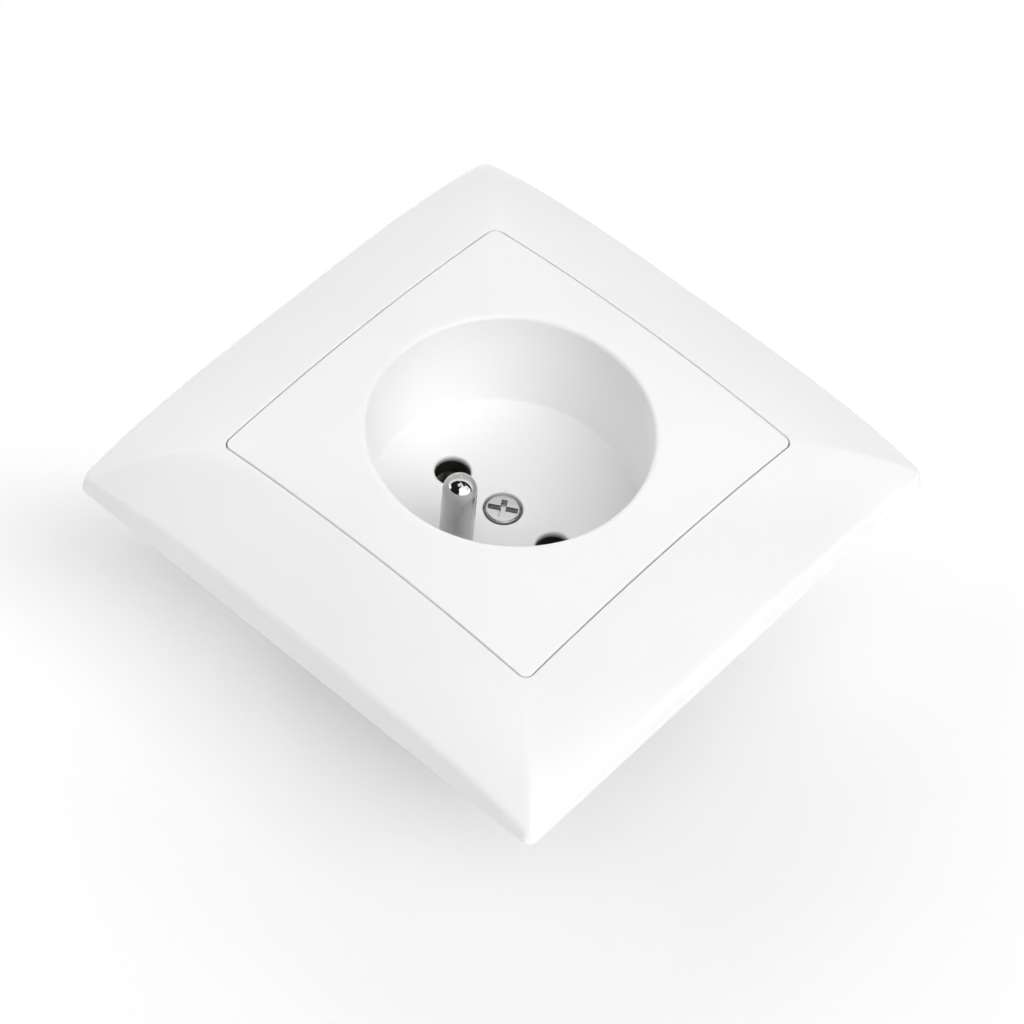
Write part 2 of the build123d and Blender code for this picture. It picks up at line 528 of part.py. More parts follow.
# Base: moulded block with chambers for the contacts and pockets for the terminals
foot_recess_start = FOOT_Y - 2 * PLAY
foot_recess_length = BASE_Y / 2 + OVER - foot_recess_start
foot_recess_y = foot_recess_start + foot_recess_length / 2
with BuildPart() as socket_base:
    with BuildSketch(Plane.XY.offset(BASE_BACK_Z)):
        RectangleRounded(BASE_X, BASE_Y, BASE_CORNER)
    extrude(amount=BASE_FRONT_Z - BASE_BACK_Z)
    chamfer(socket_base.edges().group_by(Axis.Z)[0], BASE_EDGE)
    # two wedges on each side swing the claws out as they climb
    for side in (1, -1):
        for y in (-WEDGE_Y, WEDGE_Y):
            with BuildSketch(Plane.XZ.offset(-y)):
                with BuildLine():
                    Polyline(
                        (side * WEDGE_ROOT_X, WEDGE_ROOT_Z),
                        (side * BASE_X / 2, WEDGE_START_Z),
                        (side * WEDGE_X, WEDGE_FULL_Z),
                        (side * WEDGE_X, BASE_FRONT_Z),
                        (side * WEDGE_ROOT_X, BASE_FRONT_Z),
                        close=True,
                    )
                make_face()
            extrude(amount=WEDGE_WALL / 2, both=True)
    # chambers, open to the front
    with BuildSketch(Plane.XY.offset(CHAMBER_FLOOR_Z)):
        with Locations((CONTACT_X, 0), (-CONTACT_X, 0)):
            Rectangle(CHAMBER, CHAMBER)
    extrude(amount=BASE_FRONT_Z - CHAMBER_FLOOR_Z, mode=Mode.SUBTRACT)
    # terminal pockets, and the slots in which the strips run to them
    with BuildSketch(Plane.XY.offset(pocket_floor)):
        with Locations(*terminals.values()):
            Rectangle(CHAMBER, CHAMBER)
        with Locations((CONTACT_X + WEB_X, WEB_SLOT_Y), (-CONTACT_X - WEB_X, WEB_SLOT_Y)):
            Rectangle(STRAP + SLACK, CHAMBER)
        with Locations((ARM_X, TERMINAL_Y)):
            Rectangle(STRAP + 2 * PLAY, ARM_WIDTH + 2 * PLAY)
    extrude(amount=BASE_FRONT_Z - pocket_floor, mode=Mode.SUBTRACT)
    # a wire slot from each pocket out through the wall
    with BuildSketch(Plane.XY.offset(SHELF_Z)):
        for x, y in terminals.values():
            with Locations((x, y * BASE_Y / 2 / TERMINAL_Y)):
                Rectangle(WIRE_SLOT, WIRE_SLOT_LENGTH)
    extrude(amount=BASE_FRONT_Z - SHELF_Z, mode=Mode.SUBTRACT)
    with BuildSketch(Plane.XY.offset(pocket_floor - COLLAR_ROOM)):
        with Locations(*terminals.values()):
            Rectangle(COLLAR_POCKET, COLLAR_POCKET)
    extrude(amount=COLLAR_ROOM, mode=Mode.SUBTRACT)
    # recesses for the feet, the strap, the pin's rivet and the nut
    with BuildSketch(Plane.XY.offset(FOOT_Z)):
        with Locations((0, foot_recess_y), (0, -foot_recess_y)):
            Rectangle(LEG_WIDTH + SLACK, foot_recess_length)
    extrude(amount=BASE_FRONT_Z - FOOT_Z + OVER, mode=Mode.SUBTRACT)
    with BuildSketch(Plane.XY.offset(FOOT_Z - STRAP)):
        with Locations((0, STRAP_Y)):
            Rectangle(STRAP_WIDTH + SLACK, STRAP_LENGTH + SLACK)
        with Locations((ARM_X / 2, TERMINAL_Y)):
            Rectangle(ARM_X + SLACK + 2 * PLAY, ARM_WIDTH + 2 * PLAY)
    extrude(amount=STRAP + BASE_FRONT_Z - FOOT_Z + OVER, mode=Mode.SUBTRACT)
    with BuildSketch(Plane.XY.offset(BASE_FRONT_Z - NUT_DEPTH)):
        Rectangle(NUT_SIDE + 2 * PLAY, NUT_SIDE + 2 * PLAY)
        with Locations((0, PIN_Y)):
            Rectangle(2 * PIN_RIVET_R + 2 * SLACK, 2 * PIN_RIVET_R + 2 * SLACK)
    extrude(amount=NUT_DEPTH, mode=Mode.SUBTRACT)
    # holes for the plate screw's tip, the bracket's screws and the cover's pegs
    with Locations(Plane.XY.offset(BASE_FRONT_Z)):
        with Locations((0, 0)):
            Hole(M3_R + TIP_PLAY, depth=PLATE_TIP_ROOM)
        with Locations((0, FOOT_SCREW_Y), (0, -FOOT_SCREW_Y)):
            Hole(PILOT_R, depth=PILOT_DEPTH)
        with Locations((PEG_X, PEG_Y), (-PEG_X, PEG_Y)):
            Hole(PEG_R + PLAY / 2, depth=PEG_LENGTH + SLACK)
    # the back is cored out beside, above and below the chambers
    with BuildSketch(Plane.XY.offset(BASE_BACK_Z)):
        with Locations((CORE_X, 0), (-CORE_X, 0)):
            RectangleRounded(CORE_WIDTH, CORE_LENGTH, BASE_EDGE)
        with Locations((0, CORE_LOWER_Y), (0, CORE_UPPER_Y)):
            RectangleRounded(CORE_LENGTH, CORE_HEIGHT, BASE_EDGE)
    extrude(amount=CORE_DEPTH, mode=Mode.SUBTRACT)
socket_base.part.label = "socket_base"
export_step(socket_base.part, "parts/socket_base.step")


# Contact cover: closes the contact chambers and is held under the well's floor
with BuildPart() as contact_cover:
    with BuildSketch(Plane.XY.offset(BASE_FRONT_Z)) as cover_outline:
        Rectangle(COVER_X, COVER_Y)
        with Locations((0, PIN_Y + COVER_TAB_OFFSET)):
            Rectangle(COVER_TAB_X, COVER_TAB_Y)
        fillet(cover_outline.vertices(), COVER_ROUND)
        Circle(BOSS_R + 2 * PLAY, mode=Mode.SUBTRACT)
        with Locations((CONTACT_X, 0), (-CONTACT_X, 0)):
            Circle(COVER_HOLE_R, mode=Mode.SUBTRACT)
        with Locations((0, PIN_Y)):
            Circle(PIN_SEAT_R + PLAY, mode=Mode.SUBTRACT)
    extrude(amount=floor_back - BASE_FRONT_Z)
    with BuildSketch(Plane.XY.offset(BASE_FRONT_Z - PEG_LENGTH)):
        with Locations((PEG_X, PEG_Y), (-PEG_X, PEG_Y)):
            Circle(PEG_R)
    extrude(amount=PEG_LENGTH)
contact_cover.part.label = "contact_cover"
export_step(contact_cover.part, "parts/contact_cover.step")


def terminal_shelf(x, y):
    """Flat shelf with a tapped collar for the terminal's screw."""
    with BuildPart() as shelf:
        with BuildSketch(Plane((x, y, pocket_floor))):
            Rectangle(CHAMBER - SLACK, CHAMBER - SLACK)
        extrude(amount=STRAP)
        with BuildSketch(Plane((x, y, pocket_floor - TAPPED_COLLAR))):
            Circle(TAPPED_COLLAR_R)
        extrude(amount=TAPPED_COLLAR)
        with BuildSketch(Plane((x, y, pocket_floor - TAPPED_COLLAR))):
            Circle(M3_HOLE_R)
        extrude(amount=TAPPED_COLLAR + STRAP, mode=Mode.SUBTRACT)
    return shelf.part


def contact(side):
    """Sprung grip for one plug pin, with its terminal shelf, on side 1 or -1."""
    shelf = terminal_shelf(side * TERMINAL_X, -TERMINAL_Y)
    with BuildPart() as grip:
        with BuildSketch(Plane.YZ.offset(side * CONTACT_X)):
            with BuildLine():
                FilletPolyline(
                    (-GRIP_MOUTH, GRIP_MOUTH_Z),
                    (-GRIP_NECK, GRIP_NECK_Z),
                    (-GRIP_BELLY, GRIP_BELLY_Z),
                    (-GRIP_BELLY, GRIP_FOOT_Z),
                    (GRIP_BELLY, GRIP_FOOT_Z),
                    (GRIP_BELLY, GRIP_BELLY_Z),
                    (GRIP_NECK, GRIP_NECK_Z),
                    (GRIP_MOUTH, GRIP_MOUTH_Z),
                    radius=GRIP_BEND,
                )
            trace(line_width=GRIP_WALL)
        extrude(amount=GRIP_WIDTH / 2, both=True)
        # the web joins the grip's side to the shelf
        with BuildSketch(Plane.XY.offset(pocket_floor)):
            with Locations((side * (CONTACT_X + WEB_X), WEB_Y)):
                Rectangle(STRAP, WEB_LENGTH)
        extrude(amount=WEB_HEIGHT)
        add(shelf)
    return grip.part


for label, side in {"live_contact": -1, "neutral_contact": 1}.items():
    grip = contact(side)
    grip.label = label
    export_step(grip, f"parts/{label}.step")

# Earth strap: from the pin, under the bracket's foot, down to the earth terminal
earth_shelf = terminal_shelf(TERMINAL_X, TERMINAL_Y)
with BuildPart() as earth_strap:
    with BuildSketch(Plane.XY.offset(FOOT_Z - STRAP)):
        with Locations((0, STRAP_Y)):
            Rectangle(STRAP_WIDTH, STRAP_LENGTH)
        with Locations(((ARM_X + STRAP / 2) / 2, TERMINAL_Y)):
            Rectangle(ARM_X + STRAP / 2, ARM_WIDTH)
        with Locations((0, PIN_Y)):
            Circle(PIN_TAIL_R, mode=Mode.SUBTRACT)
        with Locations((0, FOOT_SCREW_Y)):
            Circle(FOOT_HOLE_R, mode=Mode.SUBTRACT)
    extrude(amount=STRAP)
    with BuildSketch(Plane.XY.offset(pocket_floor)):
        with Locations((ARM_X, TERMINAL_Y)):
            Rectangle(STRAP, ARM_WIDTH)
    extrude(amount=FOOT_Z - pocket_floor)
    with BuildSketch(Plane.XY.offset(pocket_floor)):
        with Locations((ARM_X + OVER / 2, TERMINAL_Y)):
            Rectangle(OVER, ARM_WIDTH)
    extrude(amount=STRAP)
    add(earth_shelf)
earth_strap.part.label = "earth_strap"
export_step(earth_strap.part, "parts/earth_strap.step")

# Terminals: a pressure plate and a screw on each shelf, standing open for a wire
for name, (x, y) in terminals.items():
    with BuildPart() as clamp:
        with BuildSketch(Plane((x, y, CLAMP_Z))):
            Rectangle(CLAMP_X, CLAMP_Y)
        extrude(amount=CLAMP_WALL)
        with BuildSketch(Plane((x, y, CLAMP_Z))):
            with GridLocations(CLAMP_X - SLOT_WIDTH, 0, 2, 1):
                Rectangle(SLOT_WIDTH, CLAMP_Y)
        extrude(amount=-CLAMP_LIP)
        with BuildSketch(Plane((x, y, CLAMP_Z))):
            Circle(M3_HOLE_R + PLAY)
        extrude(amount=CLAMP_WALL, mode=Mode.SUBTRACT)
    clamp.part.label = f"{name}_clamp"
    export_step(clamp.part, f"parts/{name}_clamp.step")
    head_z = CLAMP_Z + CLAMP_WALL
    screw = pan_screw(x, y, head_z, TERMINAL_HEAD_R, TERMINAL_HEAD, M3_R, TERMINAL_TIP_Z)
    screw.label = f"{name}_terminal_screw"
    export_step(screw, f"parts/{name}_terminal_screw.step")

# Screws that hold the bracket's feet to the base
for name, y in {"upper": FOOT_SCREW_Y, "lower": -FOOT_SCREW_Y}.items():
    head_z = FOOT_Z + SHEET
    screw = pan_screw(0, y, head_z, BRACKET_HEAD_R, BRACKET_HEAD, BRACKET_SCREW_R, BRACKET_TIP_Z)
    screw.label = f"{name}_bracket_screw"
    export_step(screw, f"parts/{name}_bracket_screw.step")


def claw(side):
    """Tapped plate with teeth and two side flanges, which hangs on its screw."""
    with BuildPart() as plate:
        with BuildSketch(Plane.XY.offset(CLAW_Z)):
            with Locations((side * (CLAW_INNER + CLAW_REACH) / 2, 0)):
                Rectangle(CLAW_REACH - CLAW_INNER, CLAW_WIDTH)
            with Locations((side * CLAW_X, 0)):
                Circle(M3_HOLE_R, mode=Mode.SUBTRACT)
            # notches leave four teeth at the outer end
            with Locations(*[(side * CLAW_REACH, n * TOOTH_PITCH) for n in (-1, 0, 1)]):
                Rectangle(TOOTH_NOTCH, TOOTH_NOTCH, rotation=45, mode=Mode.SUBTRACT)
        extrude(amount=CLAW_SHEET)
        with BuildSketch(Plane.XY.offset(CLAW_Z)):
            with Locations((side * (CLAW_X + FLANGE_OFFSET), 0)):
                with GridLocations(0, CLAW_WIDTH - FLANGE_WALL, 1, 2):
                    Rectangle(FLANGE_LENGTH, FLANGE_WALL)
        extrude(amount=FLANGE_HEIGHT)
        # a collar under the plate gives the screw more thread
        with BuildSketch(Plane.XY.offset(CLAW_Z)):
            with Locations((side * CLAW_X, 0)):
                Circle(TAPPED_COLLAR_R)
                Circle(M3_HOLE_R, mode=Mode.SUBTRACT)
        extrude(amount=-TAPPED_COLLAR)
    return plate.part


def claw_screw(side):
    """Long screw with a ball seat under its head."""
    reach = sqrt(BALL_R**2 - M3_R**2)
    head_z = PIVOT_Z + CLAW_HEAD
    with BuildPart() as screw:
        with BuildSketch(Plane((side * CLAW_X, 0, 0), x_dir=(1, 0, 0), z_dir=(0, -1, 0))):
            with BuildLine():
                Polyline(
                    (M3_R, PIVOT_Z - reach),
                    (M3_R, CLAW_SCREW_TIP_Z + TIP_CHAMFER),
                    (M3_R - TIP_CHAMFER, CLAW_SCREW_TIP_Z),
                    (0, CLAW_SCREW_TIP_Z),
                    (0, head_z),
                    (BALL_R, head_z),
                    (BALL_R, PIVOT_Z),
                )
                RadiusArc((BALL_R, PIVOT_Z), (M3_R, PIVOT_Z - reach), BALL_R)
            make_face()
        revolve(axis=Axis((side * CLAW_X, 0, 0), (0, 0, 1)))
        with BuildSketch(Plane((side * CLAW_X, 0, head_z))):
            Rectangle(2 * BALL_R + OVER, SLOT_WIDTH)
        extrude(amount=-CLAW_SLOT_DEPTH, mode=Mode.SUBTRACT)
    return screw.part


for name, side in {"left": -1, "right": 1}.items():
    claw_plate = claw(side)
    claw_plate.label = f"claw_{name}"
    export_step(claw_plate, f"parts/claw_{name}.step")
    screw = claw_screw(side)
    screw.label = f"claw_screw_{name}"
    export_step(screw, f"parts/claw_screw_{name}.step")
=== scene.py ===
import json
import math

import bmesh
import bpy
from mathutils import Matrix, Vector

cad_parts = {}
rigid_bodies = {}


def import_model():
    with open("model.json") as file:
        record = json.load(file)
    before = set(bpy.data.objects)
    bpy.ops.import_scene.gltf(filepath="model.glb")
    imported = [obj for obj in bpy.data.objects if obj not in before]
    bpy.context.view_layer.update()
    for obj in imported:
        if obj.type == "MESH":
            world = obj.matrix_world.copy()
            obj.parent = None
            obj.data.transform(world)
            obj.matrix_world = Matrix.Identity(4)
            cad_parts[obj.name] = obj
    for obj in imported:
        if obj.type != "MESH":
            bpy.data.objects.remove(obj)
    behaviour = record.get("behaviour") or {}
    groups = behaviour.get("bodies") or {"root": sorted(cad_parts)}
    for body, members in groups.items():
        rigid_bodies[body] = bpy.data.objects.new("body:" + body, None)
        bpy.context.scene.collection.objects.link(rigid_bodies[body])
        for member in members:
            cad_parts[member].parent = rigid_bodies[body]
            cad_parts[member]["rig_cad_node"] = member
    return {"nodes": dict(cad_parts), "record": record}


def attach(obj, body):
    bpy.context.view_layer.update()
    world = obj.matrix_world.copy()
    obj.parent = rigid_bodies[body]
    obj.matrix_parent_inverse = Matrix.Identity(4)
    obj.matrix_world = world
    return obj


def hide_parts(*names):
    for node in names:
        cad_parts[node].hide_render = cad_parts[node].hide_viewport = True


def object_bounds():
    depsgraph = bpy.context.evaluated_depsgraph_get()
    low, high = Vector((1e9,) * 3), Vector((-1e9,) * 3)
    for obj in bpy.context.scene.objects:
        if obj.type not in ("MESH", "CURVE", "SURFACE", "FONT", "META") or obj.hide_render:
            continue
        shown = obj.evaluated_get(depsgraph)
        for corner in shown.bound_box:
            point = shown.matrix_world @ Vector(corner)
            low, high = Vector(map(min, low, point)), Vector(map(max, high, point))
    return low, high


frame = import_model()
cad_low, cad_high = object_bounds()

MM = 0.001
BODY = "socket"
PHOTO_AZIMUTH = math.radians(36.951)
PHOTO_RIGHT = Vector((-math.cos(PHOTO_AZIMUTH), -math.sin(PHOTO_AZIMUTH), 0))
PHOTO_AWAY = Vector((math.sin(PHOTO_AZIMUTH), -math.cos(PHOTO_AZIMUTH), 0))

# Sizes shared with the part, in millimetres until a mesh is made
HALF_PLATE = 27.5
PLATE_CORNER = 1.2
SEAM_Z = 11.0
SEAM_SAG = 1.6
DOME_RISE = 3.8
PLATE_WALL = 1.9
RIM_WALL = 1.5
LEDGE_Z = 7.6
LEDGE_WALL = 1.6
HALF_LEDGE = 24.9
SEAM_GAP = 0.25
HALF_WINDOW = HALF_PLATE + SEAM_GAP
SEAM_MID = HALF_PLATE + SEAM_GAP / 2
WINDOW_OUTER = HALF_WINDOW + 1.5
CREASE_HALF = 41.35
CREASE_Z = 5.5
CREASE_SAG = 3.4
CREASE_POWER = 3.5
CREASE_ROUND = 0.55
HALF_FRAME = 41.6
FRAME_WALL = 1.9
FRAME_CORNER = 1.5
LEG_INNER = 27.2
LEG_FOOT_Z = 1.0
WELL_R = 19.6
WELL_FLOOR_R = 19.35
WELL_WALL = 1.7
WELL_FLOOR_Z = -5.3
FLOOR_BACK_Z = -7.3
MOUTH_ROUND = 0.9
CONTACT_X = 9.5
CONTACT_HOLE_R = 2.6
CONTACT_LIP = 0.35
COLLAR_R = 2.95             # outside of the collar that leads a plug's pin through the cover
COLLAR_FOOT_Z = -9.0
HOLE_SHADE_DEPTH = 1.0          # depth below the lip over which painted shade turns a contact hole black
# painted shade: the colour a contact hole's wall is painted in its depth
HOLE_SHADE_BLACK = (0.02, 0.02, 0.02, 1)
PIN_Y = 10.0
PIN_R = 2.4
PIN_TIP_Z = 10.65
PIN_SEAT_R = 2.6
PIN_SEAT_Z = -5.1
PLATE_SCREW_TURN = math.radians(31)
BOSS_R = 4.5                # boss behind the floor that the plate screw clamps
BOSS_Z = -9.0
SINK_MOUTH_R = 3.0          # sink for the plate screw's head
SINK_R = 2.85
SINK_CHAMFER = 0.15
SINK_DEPTH = 1.7
SCREW_HOLE_R = 1.65
RIB_PLACE = 9               # distance of the plate's ribs from its middle lines
RIB_HALF = 0.6
RIB_ENDS = (HALF_PLATE - 7.2, HALF_PLATE - 1.2)
RIB_LOW_Z = LEDGE_Z + 0.4
RIB_HIGH_Z = LEDGE_Z + 2.4

# Sizes that only the visible surfaces have
EDGE_ROUND = 0.08           # small rounding along the seam
MITRE_ROUND = 0.15          # half width of a mitre's rounding at the outer corner
MITRE_SOFTER = 0.35         # how much wider it is at the plate's corner
FLOOR_ROUND = 0.35          # rounding between the well's wall and floor
HALF_SIDE_STEPS = 40        # points along half a side
CORNER_STEPS = 10           # points round a corner
LEG_START = 0.41            # share of a half side after which the wall has its legs


class Surface:
    """Points and faces of one piece, gathered ring by ring, in millimetres."""

    def __init__(self):
        self.mesh = bmesh.new()

    def ring(self, points):
        return [self.mesh.verts.new(p) for p in points]

    def bridge(self, first, second):
        """Quads between two closed rings of the same length."""
        for i in range(len(first)):
            corners = (first[i - 1], first[i], second[i], second[i - 1])
            self.mesh.faces.new(corners)

    def tube(self, rings):
        """Adds the rings, bridges each to the next and returns the first and the last."""
        made = [self.ring(points) for points in rings]
        for first, second in zip(made, made[1:]):
            self.bridge(first, second)
        return made[0], made[-1]

    def fill(self, *rings):
        """A flat face inside the first ring, with the other rings as its holes."""
        edges = []
        for ring in rings:
            for i in range(len(ring)):
                pair = (ring[i - 1], ring[i])
                edges.append(self.mesh.edges.get(pair) or self.mesh.edges.new(pair))
        bmesh.ops.triangle_fill(self.mesh, use_beauty=True, edges=edges)

    def block(self, low, high):
        """A closed box, for a rib."""
        corners = [(x, y, z) for z in (low[2], high[2]) for y in (low[1], high[1]) for x in (low[0], high[0])]
        v = self.ring(corners)
        for face in ((0, 2, 3, 1), (4, 5, 7, 6), (0, 1, 5, 4), (2, 6, 7, 3), (0, 4, 6, 2), (1, 3, 7, 5)):
            self.mesh.faces.new([v[i] for i in face])

    def piece(self, name, node, slot, body=BODY, sharp=30):
        """Makes the object, smooth but for edges over the sharp angle, and lets it stand for a CAD node."""
        bmesh.ops.recalc_face_normals(self.mesh, faces=self.mesh.faces)
        bmesh.ops.scale(self.mesh, vec=(MM, MM, MM), verts=self.mesh.verts)
        data = bpy.data.meshes.new(name)
        self.mesh.to_mesh(data)
        self.mesh.free()
        data.shade_smooth()
        data.set_sharp_from_angle(angle=math.radians(sharp))
        made = bpy.data.objects.new(name, data)
        bpy.context.scene.collection.objects.link(made)
        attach(made, body)
        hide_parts(node)
        made.data.materials.append(MATERIALS[slot])
        return made


def circle(radius, z, centre=(0, 0), count=96):
    """Points round a circle; z is a height or a function of the place."""
    points = []
    for i in range(count):
        angle = 2 * math.pi * i / count
        x = centre[0] + radius * math.cos(angle)
        y = centre[1] + radius * math.sin(angle)
        points.append((x, y, z(x, y) if callable(z) else z))
    return points


def side_shares():
    """Places along a side, as shares of its half length, closer together near the corners."""
    shares = [LEG_START - 0.0003, LEG_START + 0.0003]
    for i in range(HALF_SIDE_STEPS + 1):
        x = i / HALF_SIDE_STEPS
        shares.append(0.2 * x + 0.8 * math.sin(math.pi * x / 2))
    half = sorted(shares)
    return [-s for s in reversed(half[1:])] + half


SIDE_SHARES = side_shares()


def square(half, radius, z):
    """Points round a rounded square; z is a height or a function of place and share."""
    flat = half - radius
    corner = []
    for share in SIDE_SHARES:
        corner.append((half, share * flat, share))
    for i in range(1, CORNER_STEPS):
        angle = math.pi / 2 * i / CORNER_STEPS
        corner.append((flat + radius * math.cos(angle), flat + radius * math.sin(angle), 1))
    points = []
    for turn in range(4):
        c, s = ((1, 0), (0, 1), (-1, 0), (0, -1))[turn]
        for x, y, share in corner:
            px, py = x * c - y * s, x * s + y * c
            points.append((px, py, z(px, py, share) if callable(z) else z))
    return points


def arc(first, corner, last, share):
    """A point on a round that turns from first to last, both beside corner."""
    weight = math.sqrt(0.5)
    a, b, c = (1 - share) ** 2, 2 * weight * share * (1 - share), share**2
    return tuple((a * p + b * q + c * r) / (a + b + c) for p, q, r in zip(first, corner, last))


def plate_height(x, y):
    """Height of the centre plate's face."""
    u, v = x / HALF_PLATE, y / HALF_PLATE
    return SEAM_Z + DOME_RISE * (1 - u**2 - v**2) + (DOME_RISE - SEAM_SAG) * u**2 * v**2


def quarter_height(u, t):
    """Height of one quarter of the frame's face, u out from the middle and t along the side."""
    run = CREASE_HALF - SEAM_MID
    s = (u - SEAM_MID) / run
    edge_slope = 2 * DOME_RISE / HALF_PLATE
    fall = CREASE_SAG * abs(t) ** CREASE_POWER
    first = run * (edge_slope - 0.044 * t**2)
    second = SEAM_Z - CREASE_Z - SEAM_SAG * t**2 + fall - first
    return SEAM_Z - SEAM_SAG * t**2 - first * s - second * s**2


def frame_height(x, y):
    """Height of the frame's face, its mitres rounded, more softly towards the plate."""
    across, along = max(abs(x), abs(y)), min(abs(x), abs(y))
    own = quarter_height(across, along / across)
    foot = (across + along) / 2
    away = (across - along) / math.sqrt(2)
    inward = (CREASE_HALF - foot) / (CREASE_HALF - SEAM_MID)
    width = MITRE_ROUND + MITRE_SOFTER * inward
    if away >= width:
        return own
    step = 0.01
    beside = quarter_height(foot + step, (foot - step) / (foot + step))
    slope = (quarter_height(foot, 1) - beside) / (step * math.sqrt(2))
    return own - slope * ((away**2 + width**2) / (2 * width) - away)


def shader_tree(name):
    """A new node material; returns it, its nodes, its links and its principled shader."""
    made = bpy.data.materials.new(name)
    made.use_nodes = True
    nodes, links = made.node_tree.nodes, made.node_tree.links
    return made, nodes, links, nodes["Principled BSDF"]


def noise(nodes, links, scale, detail=3.0, stretch=(1, 1, 1)):
    """Noise over the object's own coordinates, its scale per metre, stretched along an axis if asked."""
    place = nodes.new("ShaderNodeTexCoord")
    mapping = nodes.new("ShaderNodeMapping")
    mapping.inputs["Scale"].default_value = stretch
    texture = nodes.new("ShaderNodeTexNoise")
    texture.inputs["Scale"].default_value = scale
    texture.inputs["Detail"].default_value = detail
    links.new(place.outputs["Object"], mapping.inputs["Vector"])
    links.new(mapping.outputs["Vector"], texture.inputs["Vector"])
    return texture.outputs["Fac"]


def spread(nodes, links, value, low, high):
    """Maps a noise value to the range from low to high."""
    mapped = nodes.new("ShaderNodeMapRange")
    mapped.inputs["From Min"].default_value = 0.3
    mapped.inputs["From Max"].default_value = 0.7
    mapped.inputs["To Min"].default_value = low
    mapped.inputs["To Max"].default_value = high
    links.new(value, mapped.inputs["Value"])
    return mapped.outputs["Result"]


def blend(nodes, links, value, first, second):
    """Mixes two colours by a value from 0 to 1."""
    ramp = nodes.new("ShaderNodeValToRGB")
    ramp.color_ramp.elements[0].position = 0.3
    ramp.color_ramp.elements[0].color = (*first, 1)
    ramp.color_ramp.elements[1].position = 0.7
    ramp.color_ramp.elements[1].color = (*second, 1)
    links.new(value, ramp.inputs["Fac"])
    return ramp.outputs["Color"]


def bump(nodes, links, shader, height, depth):
    """Presses a height pattern into the surface, depth in millimetres."""
    made = nodes.new("ShaderNodeBump")
    made.inputs["Strength"].default_value = 1.0
    made.inputs["Distance"].default_value = depth * MM
    links.new(height, made.inputs["Height"])
    links.new(made.outputs["Normal"], shader.inputs["Normal"])


def facing(nodes, links, vector, direction, start, end):
    """How far a vector points along a direction, smoothly from 0 at start to 1 at end."""
    along = nodes.new("ShaderNodeVectorMath")
    along.operation = "DOT_PRODUCT"
    along.inputs[1].default_value = direction
    smooth = nodes.new("ShaderNodeMapRange")
    smooth.interpolation_type = "SMOOTHSTEP"
    smooth.inputs["From Min"].default_value = start
    smooth.inputs["From Max"].default_value = end
    links.new(vector, along.inputs[0])
    links.new(along.outputs["Value"], smooth.inputs["Value"])
    return smooth.outputs["Result"]


def mixed(nodes, links, share, first, second):
    """Mixes two values, each a number or an output, by a share from 0 to 1."""
    made = nodes.new("ShaderNodeMix")
    links.new(share, made.inputs["Factor"])
    for name, value in (("A", first), ("B", second)):
        if isinstance(value, (int, float)):
            made.inputs[name].default_value = value
        else:
            links.new(value, made.inputs[name])
    return made.outputs["Result"]


def product(nodes, links, first, second):
    """Multiplies two outputs."""
    made = nodes.new("ShaderNodeMath")
    made.operation = "MULTIPLY"
    links.new(first, made.inputs[0])
    links.new(second, made.inputs[1])
    return made.outputs["Value"]


def moulded(name, colour, rough, grain_scale, grain_depth, mottle=0.985):
    """Moulded plastic: an almost even colour, slightly uneven gloss and the mould's fine grain."""
    made, nodes, links, shader = shader_tree(name)
    darker = tuple(c * mottle for c in colour)
    links.new(blend(nodes, links, noise(nodes, links, 70), darker, colour), shader.inputs["Base Color"])
    links.new(spread(nodes, links, noise(nodes, links, 400), rough - 0.02, rough + 0.03), shader.inputs["Roughness"])
    bump(nodes, links, shader, noise(nodes, links, grain_scale, 2.0), grain_depth)
    shader.inputs["IOR"].default_value = 1.5
    return made


def plated(name, colour, darker, rough, stretch, scratch_depth):
    """Metal with a drawn or brushed grain along one axis and cloudy patches in its plating."""
    made, nodes, links, shader = shader_tree(name)
    shader.inputs["Metallic"].default_value = 1.0
    links.new(blend(nodes, links, noise(nodes, links, 260, 4.0), darker, colour), shader.inputs["Base Color"])
    grain = noise(nodes, links, 2600, 3.0, stretch)
    links.new(spread(nodes, links, grain, rough - 0.05, rough + 0.1), shader.inputs["Roughness"])
    bump(nodes, links, shader, grain, scratch_depth)
    return made


